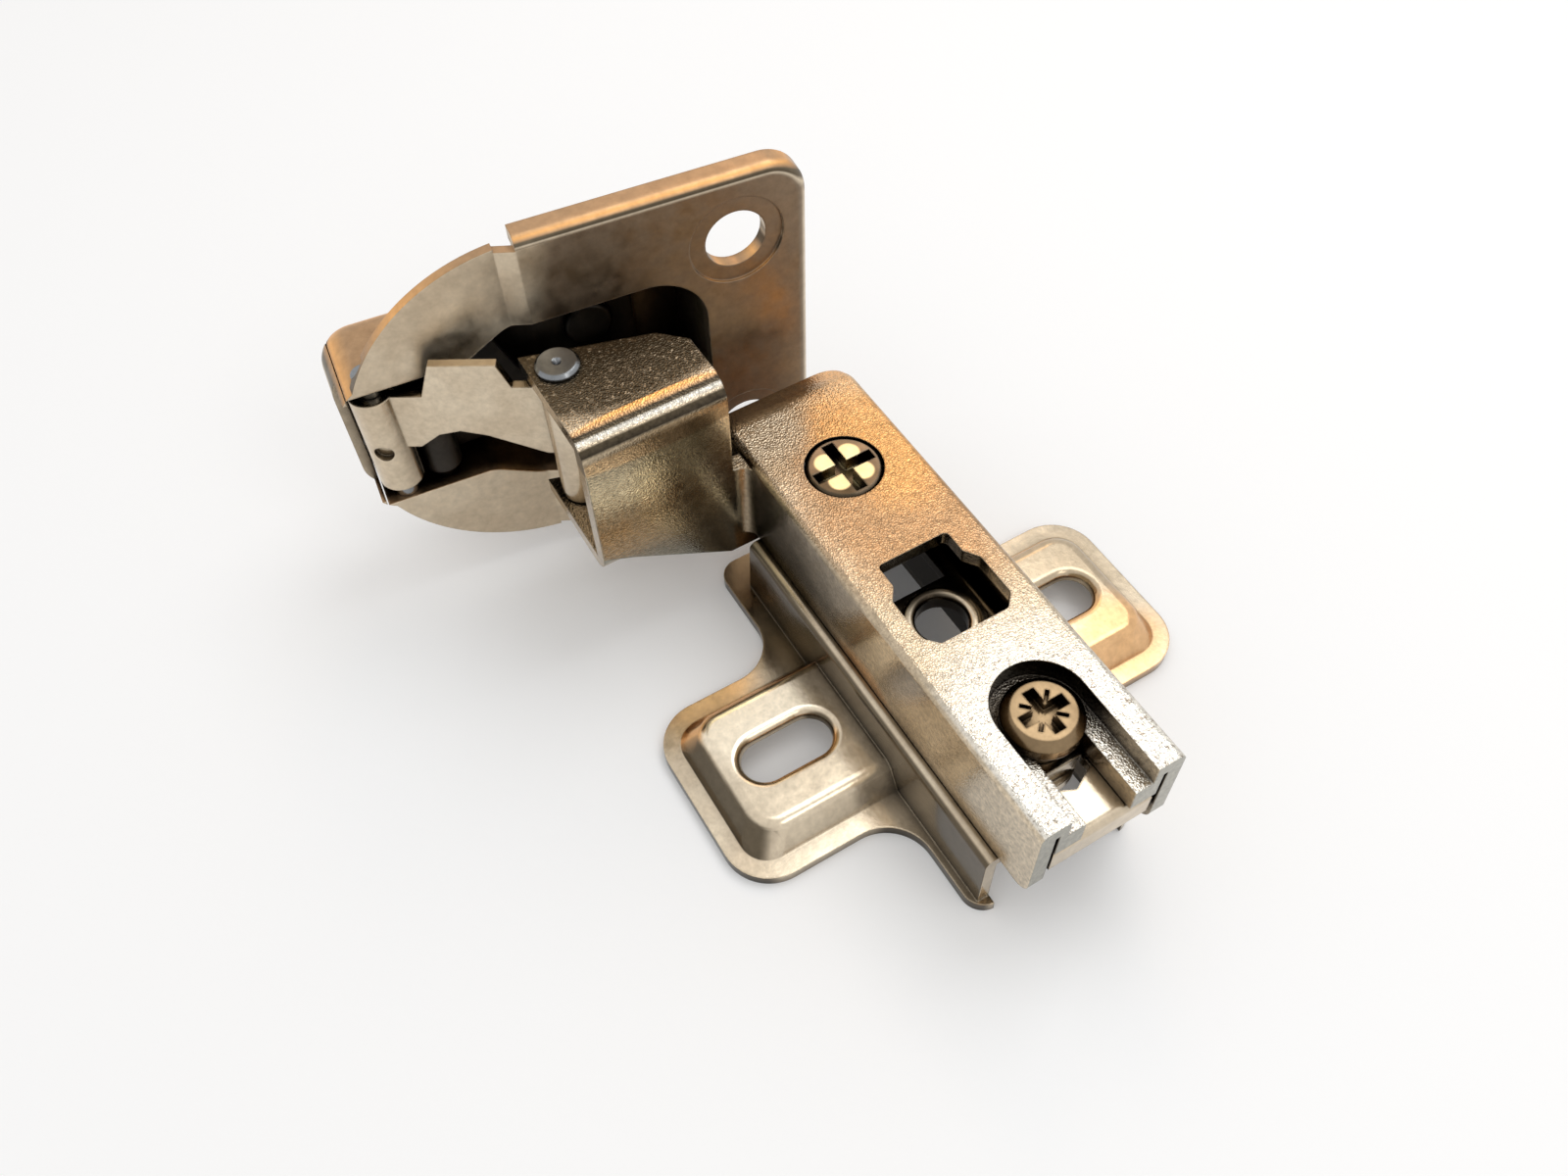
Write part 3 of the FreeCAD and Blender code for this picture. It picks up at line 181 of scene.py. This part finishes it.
# Painted reflections in bands round the cup's rolled edge, by how far the surface looks up
EDGE_BANDS = (
    (0.05, DUSKY_BROWN_AND_PAINTED_SHADE), (0.2, NICKEL_PALE), (0.32, DARK_BROWN_AND_PAINTED_SHADE), (0.5, DARK_BROWN_AND_PAINTED_SHADE),
    (0.62, PAINTED_BRONZE_REFLECTION), (0.8, PAINTED_ORANGE_REFLECTION), (0.98, PAINTED_BRONZE_REFLECTION),
)

# Glancing reflections on the front of the near cheek, dulled there as painted shade, and grain on the arm's
# sides, against full
DULL_GLANCE = 0.5
LEAST_GRAIN = 0.22

# How far behind the cup's front the painted shade in its corners starts, and where it is full
DARK_FROM = 0.00097
DARK_FULL = 0.00197

# Painted highlights as pale lobes in the head of the adjusting screw, in millimetres from its middle
LOBE_OUT = 1.3
LOBE_REACH = (1.25, 1.25, 3.0)
LOBE_CORE = 0.75

# Noises of clouds of colour, smears of gloss and ragged rims: scale, detail and roughness. Grain and
# flecks have only the last two, because their scale goes with the finish
CLOUDS = (140.0, 3.0, 0.5)
SMEARS = (520.0, 3.0, 0.6)
RIMS = (330.0, 4.0, 0.6)
GRAIN = (2.0, 0.6)
FLECKS = (2.0, 0.7)

# Scale of the sparkling cells
CELL_SCALE = 5200.0

# Values of a noise, or of openness, between which a finish goes from one colour or gloss to the other
CLOUD_RANGE = (0.36, 0.66)
FLECK_RANGE = (0.25, 0.8)
SMEAR_RANGE = (0.3, 0.72)
FULLY_OPEN = 0.9

# The flecks' scale against the grain's, and the glossiest and dullest spots against the middle gloss
FLECK_SCALE = 0.8
GLOSS_SPREAD = (0.75, 1.3)

# Eased edges, and the samples that look for them and for corners
EASED_EDGE = 0.00025
EDGE_SAMPLES = 4
CORNER_SAMPLES = 6

# Sockets of a colour mix, which go by number because their names are shared
MIX_FIRST = 6
MIX_SECOND = 7
MIX_RESULT = 2

# A millimetre in metres, and a noise that isn't drawn out
MM = 0.001
EVEN = (1.0, 1.0, 1.0)


def grey(level):
    return (level, level, level)


def metres(lengths):
    """Millimetres as metres."""
    return tuple(length * MM for length in lengths)


def feed(tree, socket, value):
    """Links an output to an input, or sets the input to a number, a vector or a colour."""
    if isinstance(value, bpy.types.NodeSocket):
        tree.links.new(value, socket)
    elif socket.type == "RGBA":
        socket.default_value = (*value, 1.0)
    else:
        socket.default_value = value


def make(tree, kind, inputs, **settings):
    """A shader node with its settings, and its inputs fed by their names or numbers."""
    made = tree.nodes.new(kind)
    for name, value in settings.items():
        setattr(made, name, value)
    for place, value in inputs.items():
        feed(tree, made.inputs[place], value)
    return made


def coordinates(tree, kind):
    """The part's own coordinates in metres, or its normals."""
    return make(tree, "ShaderNodeTexCoord", {}).outputs[kind]


def maths(tree, operation, *values):
    """One operation on outputs and numbers."""
    made = make(tree, "ShaderNodeMath", dict(enumerate(values)), operation=operation)
    return made.outputs["Value"]


def vectors(tree, operation, *values):
    """One operation on vectors, whose result is a vector or a number."""
    made = make(tree, "ShaderNodeVectorMath", dict(enumerate(values)), operation=operation)
    return made.outputs["Value" if operation in ("DOT_PRODUCT", "LENGTH") else "Vector"]


def noise(tree, scale, detail, rough, stretch=EVEN):
    """Noise over the part's own coordinates, drawn out along an axis if asked."""
    inputs = {"Vector": coordinates(tree, "Object"), "Scale": stretch}
    mapping = make(tree, "ShaderNodeMapping", inputs)
    inputs = {"Vector": mapping.outputs["Vector"], "Scale": scale, "Detail": detail, "Roughness": rough}
    return make(tree, "ShaderNodeTexNoise", inputs).outputs["Fac"]


def ramp(tree, source, stops):
    """A colour for each value of an output, from stops that are a value and a colour each."""
    made = make(tree, "ShaderNodeValToRGB", {"Fac": source})
    elements = made.color_ramp.elements
    for element, (value, colour) in zip(elements, (stops[0], stops[-1])):
        element.position = value
        element.color = (*colour, 1.0)
    for value, colour in stops[1:-1]:
        elements.new(value).color = (*colour, 1.0)
    return made.outputs["Color"]


def blend(tree, factor, first, second, kind="MIX"):
    """Mixes two colours by a factor."""
    inputs = {"Factor": factor, MIX_FIRST: first, MIX_SECOND: second}
    made = make(tree, "ShaderNodeMix", inputs, data_type="RGBA", blend_type=kind)
    return made.outputs[MIX_RESULT]


def fade(tree, source, start, end, most):
    """A soft step from nothing at one value to the most at another."""
    inputs = {"Value": source, "From Min": start, "From Max": end, "To Max": most}
    return make(tree, "ShaderNodeMapRange", inputs, interpolation_type="SMOOTHSTEP").outputs["Result"]


def looking(tree, direction):
    """How far the surface looks in a direction of the part, 1 where it is square to it."""
    return vectors(tree, "DOT_PRODUCT", coordinates(tree, "Normal"), direction)


def spot(tree, middle, reach, most, core=0.45, ragged=0.25):
    """A soft patch round a place on the part, full within its core, with an uneven rim."""
    away = vectors(tree, "SUBTRACT", coordinates(tree, "Object"), metres(middle))
    share = vectors(tree, "LENGTH", vectors(tree, "DIVIDE", away, metres(reach)))
    rim = maths(tree, "MULTIPLY_ADD", noise(tree, *RIMS), ragged, share)
    return fade(tree, rim, 1.0 + ragged / 2.0, core + ragged / 2.0, most)


def mask(tree, name):
    """The factor of the faces, the speckles or the patch of that name."""
    if name in FACES:
        direction, start, end, most = FACES[name]
        return fade(tree, looking(tree, direction), start, end, most)
    if name in SPECKLES:
        scale, start, end, most = SPECKLES[name]
        return fade(tree, noise(tree, scale, *FLECKS), start, end, most)
    return spot(tree, *PATCHES[name])


def meeting(tree, names):
    """The factor where all the masks of those names meet."""
    factor = mask(tree, names[0])
    for name in names[1:]:
        factor = maths(tree, "MULTIPLY", factor, mask(tree, name))
    return factor


def laid(tree, colour, tones):
    """A colour with tones laid over it one after another."""
    for names, tone in tones:
        colour = blend(tree, meeting(tree, names), colour, tone)
    return colour


def plate_tones(tree, colour):
    """The plate's pads in painted reflections, highlight and shade: orange left flanks, dark lower flanks,
    a pale near top, a gold far end.
    """
    return laid(tree, colour, PLATE_TONES)


def arm_tones(tree, colour):
    """The arm in painted reflections and highlights: bronze top going silver to the rear, olive web, dark
    bracket with a banded bend.
    """
    bands = ramp(tree, looking(tree, TO_REAR), BEND_BANDS)
    return blend(tree, mask(tree, "bracket's bend"), laid(tree, colour, ARM_TONES), bands)


def cup_tones(tree, colour):
    """The cup in painted reflection and highlight: a dusky flange face under a banded rolled edge, and pale
    round the cup's left.
    """
    bands = ramp(tree, looking(tree, UP), EDGE_BANDS)
    return blend(tree, mask(tree, "cup's rolled edge"), laid(tree, colour, CUP_TONES), bands)


def screw_tones(tree, colour):
    """The adjusting screw: a painted pale highlight in each quarter of its head, dark round them."""
    places = [vertex.co / MM for vertex in NODES["adjusting_screw"].data.vertices]
    middle = [(min(along) + max(along)) / 2.0 for along in zip(*places)]
    top = max(place.z for place in places)
    for ahead in (LOBE_OUT, -LOBE_OUT):
        for across in (LOBE_OUT, -LOBE_OUT):
            place = (middle[0] + ahead, middle[1] + across, top)
            colour = blend(tree, spot(tree, place, LOBE_REACH, 1.0, LOBE_CORE, 0.0), colour, PAINTED_PALE_HIGHLIGHT)
    return colour


def cup_depth(tree):
    """1 behind the cup's front, where corners take painted shade, and 0 on its front."""
    front = max(Vector(CUP_OUT).dot(vertex.co) for vertex in NODES["hinge_cup"].data.vertices)
    out = vectors(tree, "DOT_PRODUCT", coordinates(tree, "Object"), CUP_OUT)
    return fade(tree, out, front - DARK_FROM, front - DARK_FULL, 1.0)


def arm_grain(tree):
    """Full grain on the arm's top faces, and hardly any on its sides."""
    return maths(tree, "MAXIMUM", mask(tree, "top faces"), LEAST_GRAIN)


def arm_glance(tree):
    """Strength of glancing reflections on the arm: full, and less on the front of its near cheek as painted
    shade.
    """
    inputs = {"Value": meeting(tree, ("near faces", "cheek's front")), "To Min": 1.0, "To Max": DULL_GLANCE}
    return make(tree, "ShaderNodeMapRange", inputs).outputs["Result"]


def full(tree):
    """The factor of a finish that is the same all over."""
    return 1.0


def untoned(tree, colour):
    """The colour of a finish that has no painted tones laid over it."""
    return colour


def shader_tree(name):
    """A new material, its node tree and its shader."""
    material = bpy.data.materials.new(name)
    material.use_nodes = True
    tree = material.node_tree
    return material, tree, tree.nodes["Principled BSDF"]


def painted_corner_shade(tree, colour, reach, closed, sunk):
    """Painted shade: the colour going deep where the surface is closed in within a reach."""
    corners = make(tree, "ShaderNodeAmbientOcclusion", {"Distance": reach}, samples=CORNER_SAMPLES)
    openness = ramp(tree, corners.outputs["AO"], ((closed, PAINTED_DEEP_SHADE), (FULLY_OPEN, grey(1.0))))
    return blend(tree, sunk(tree), colour, openness, "MULTIPLY")


def bumped(tree, height, distance, normal, strength):
    """A normal with a fine relief laid over it."""
    inputs = {"Strength": strength, "Distance": distance, "Height": height, "Normal": normal}
    return make(tree, "ShaderNodeBump", inputs).outputs["Normal"]


def grained(tree, grain, relief, stretch, sparkle, grainy):
    """The normal of eased edges under a fine grain, and under sparkling cells if asked."""
    eased = make(tree, "ShaderNodeBevel", {"Radius": EASED_EDGE}, samples=EDGE_SAMPLES)
    coarse = noise(tree, grain, *GRAIN, stretch)
    normal = bumped(tree, coarse, relief, eased.outputs["Normal"], grainy(tree))
    if sparkle:
        inputs = {"Vector": coordinates(tree, "Object"), "Scale": CELL_SCALE}
        cells = make(tree, "ShaderNodeTexVoronoi", inputs)
        normal = bumped(tree, cells.outputs["Distance"], sparkle, normal, grainy(tree))
    return normal


def plated(name, colour, second, rough, grain, relief, corner=0.004, closed=0.32, flecked=(0.84, 1.1),
           stretch=EVEN, sparkle=0.0, toned=untoned, sunk=full, grainy=full, glancing=None):
    """Plate: clouded colour with tones and flecks, painted shade deep in corners, uneven gloss and a fine
    grain.

    The grain is a noise's scale and the relief its height in metres. Walls within the corner's reach
    darken the surface with painted shade, and it is darkest where no more than the closed share of its view
    is open.
    """
    material, tree, shader = shader_tree(name)
    clouds = ramp(tree, noise(tree, *CLOUDS), tuple(zip(CLOUD_RANGE, (second, colour))))
    fleck = noise(tree, grain * FLECK_SCALE, *FLECKS, stretch)
    flecks = ramp(tree, fleck, tuple(zip(FLECK_RANGE, map(grey, flecked))))
    speckled = blend(tree, 1.0, toned(tree, clouds), flecks, "MULTIPLY")
    glosses = [grey(rough * spread) for spread in GLOSS_SPREAD]
    gloss = ramp(tree, noise(tree, *SMEARS, stretch), tuple(zip(SMEAR_RANGE, glosses)))
    feed(tree, shader.inputs["Metallic"], 1.0)
    feed(tree, shader.inputs["Base Color"], painted_corner_shade(tree, speckled, corner, closed, sunk))
    feed(tree, shader.inputs["Roughness"], gloss)
    feed(tree, shader.inputs["Normal"], grained(tree, grain, relief, stretch, sparkle, grainy))
    if glancing:
        feed(tree, shader.inputs["Specular Tint"], glancing(tree))
    return material


def paint(material, *names):
    """Gives pieces their material, a finish with its painted light and shade."""
    for name in names:
        mesh = NODES[name].data
        mesh.materials.clear()
        mesh.materials.append(material)


def finishes_and_painted_light():
    """One finish for each pressed piece and screw, and shared ones for the pins, with painted light and
    shade laid in; the hidden inner link, inner pins, rivet and spring are near black as painted shade.
    """
    plate = plated("plate_nickel", NICKEL_PALE, NICKEL, rough=0.17, grain=1500.0, relief=0.000005,
                   corner=0.0022, toned=plate_tones)
    paint(plate, "mounting_plate")
    arm = plated("arm_nickel", NICKEL, NICKEL_WARM, rough=0.17, grain=3000.0, relief=0.000016,
                 flecked=(0.6, 1.35), sparkle=0.00004, toned=arm_tones, grainy=arm_grain,
                 glancing=arm_glance)
    paint(arm, "hinge_arm")
    cup = plated("cup_nickel", NICKEL_PALE, NICKEL, rough=0.38, grain=1200.0, relief=0.000003,
                 corner=0.012, closed=0.42, toned=cup_tones, sunk=cup_depth)
    paint(cup, "hinge_cup")
    link = plated("link_nickel", NICKEL_PALE, NICKEL, rough=0.2, grain=1800.0, relief=0.000004,
                  corner=0.003, closed=0.25)
    paint(link, "outer_link")
    paint(plated("link_painted_shade", PAINTED_SHADE_BLACK, PAINTED_SHADE_BLACKEST, rough=0.4, grain=1800.0, relief=0.000006), "inner_link")
    bronze = plated("screw_bronze", SCREW_LIGHT, SCREW, rough=0.16, grain=1500.0, relief=0.000006,
                    corner=0.0015, closed=0.3)
    paint(bronze, "fixing_screw")
    highlighted_screw = plated("screw_painted_highlights", DARK_BROWN_AND_PAINTED_SHADE, DUSKY_BROWN_AND_PAINTED_SHADE, rough=0.2, grain=1500.0, relief=0.000006,
                   corner=0.0015, closed=0.3, toned=screw_tones)
    paint(highlighted_screw, "adjusting_screw")
    steel = plated("pin_steel", PIN, PIN_DARK, rough=0.2, grain=1600.0, relief=0.000005,
                   corner=0.0015, closed=0.3)
    paint(steel, "outer_arm_pin", "outer_cup_pin")
    shaded_pins = plated("pin_painted_shade", PAINTED_SHADE_BLACK, PAINTED_SHADE_BLACKEST, rough=0.38, grain=1600.0, relief=0.000005)
    paint(shaded_pins, "inner_arm_pin", "inner_cup_pin", "spring_rivet")
    spring = plated("spring_painted_shade", PAINTED_SHADE_BLACKEST, PAINTED_SHADE_BLACK, rough=0.4, grain=1600.0, relief=0.000006,
                    stretch=(1.0, 1.0, 0.15))
    paint(spring, "closing_spring")


def seen_rays(tree):
    """1 for what the camera sees, straight on, in a reflection or through something."""
    path = make(tree, "ShaderNodeLightPath", {})
    seen = path.outputs["Is Camera Ray"]
    for kind in ("Is Glossy Ray", "Is Transmission Ray"):
        seen = maths(tree, "MAXIMUM", seen, path.outputs[kind])
    return seen


def floor():
    """White floor that keeps the soft shadow, and that glows a little where it is seen."""
    bpy.ops.mesh.primitive_plane_add(size=FLOOR_WIDTH, location=(0, 0, 0))
    made = bpy.context.object
    made.name = "floor"
    material, tree, shader = shader_tree("floor_white")
    feed(tree, shader.inputs["Base Color"], grey(FLOOR_WHITE))
    feed(tree, shader.inputs["Roughness"], 1.0)
    feed(tree, shader.inputs["Specular IOR Level"], 0.0)
    glow = make(tree, "ShaderNodeEmission", {"Color": grey(1.0), "Strength": FLOOR_GLOW})
    none = make(tree, "ShaderNodeEmission", {"Strength": 0.0})
    inputs = {"Fac": seen_rays(tree), 1: none.outputs["Emission"], 2: glow.outputs["Emission"]}
    seen = make(tree, "ShaderNodeMixShader", inputs)
    inputs = {0: shader.outputs["BSDF"], 1: seen.outputs["Shader"]}
    surface = make(tree, "ShaderNodeAddShader", inputs)
    feed(tree, tree.nodes["Material Output"].inputs["Surface"], surface.outputs["Shader"])
    made.data.materials.append(material)


def world():
    """White to the camera and in reflections, and a plain soft light for everything else."""
    made = bpy.data.worlds.new("studio")
    bpy.context.scene.world = made
    made.use_nodes = True
    tree = made.node_tree
    tree.nodes.clear()
    seen = make(tree, "ShaderNodeBackground", {"Color": grey(1.0)})
    light = make(tree, "ShaderNodeBackground", {"Color": grey(1.0), "Strength": WORLD_LIGHT})
    inputs = {"Fac": seen_rays(tree), 1: light.outputs["Background"], 2: seen.outputs["Background"]}
    mix = make(tree, "ShaderNodeMixShader", inputs)
    make(tree, "ShaderNodeOutputWorld", {"Surface": mix.outputs["Shader"]})


def lights():
    """Soft square lamps, all aimed at one point."""
    for name, (place, width, power, colour) in LAMPS.items():
        data = bpy.data.lights.new(name, "AREA")
        data.shape = "SQUARE"
        data.size = width
        data.energy = power
        data.color = colour
        made = bpy.data.objects.new(name, data)
        made.location = place
        aim = Vector(LAMP_TARGET) - Vector(place)
        made.rotation_euler = aim.to_track_quat("-Z", "Y").to_euler()
        bpy.context.collection.objects.link(made)


def camera():
    """The photograph's camera."""
    data = bpy.data.cameras.new("photo")
    data.lens = LENS
    data.sensor_width = SENSOR
    data.clip_start = NEAREST_SEEN
    made = bpy.data.objects.new("photo", data)
    made.location = CAMERA_PLACE
    made.rotation_euler = [math.radians(angle) for angle in CAMERA_TURN]
    bpy.context.collection.objects.link(made)
    bpy.context.scene.camera = made


finishes_and_painted_light()
floor()
world()
lights()
camera()
bpy.context.scene.view_settings.view_transform = "Standard"
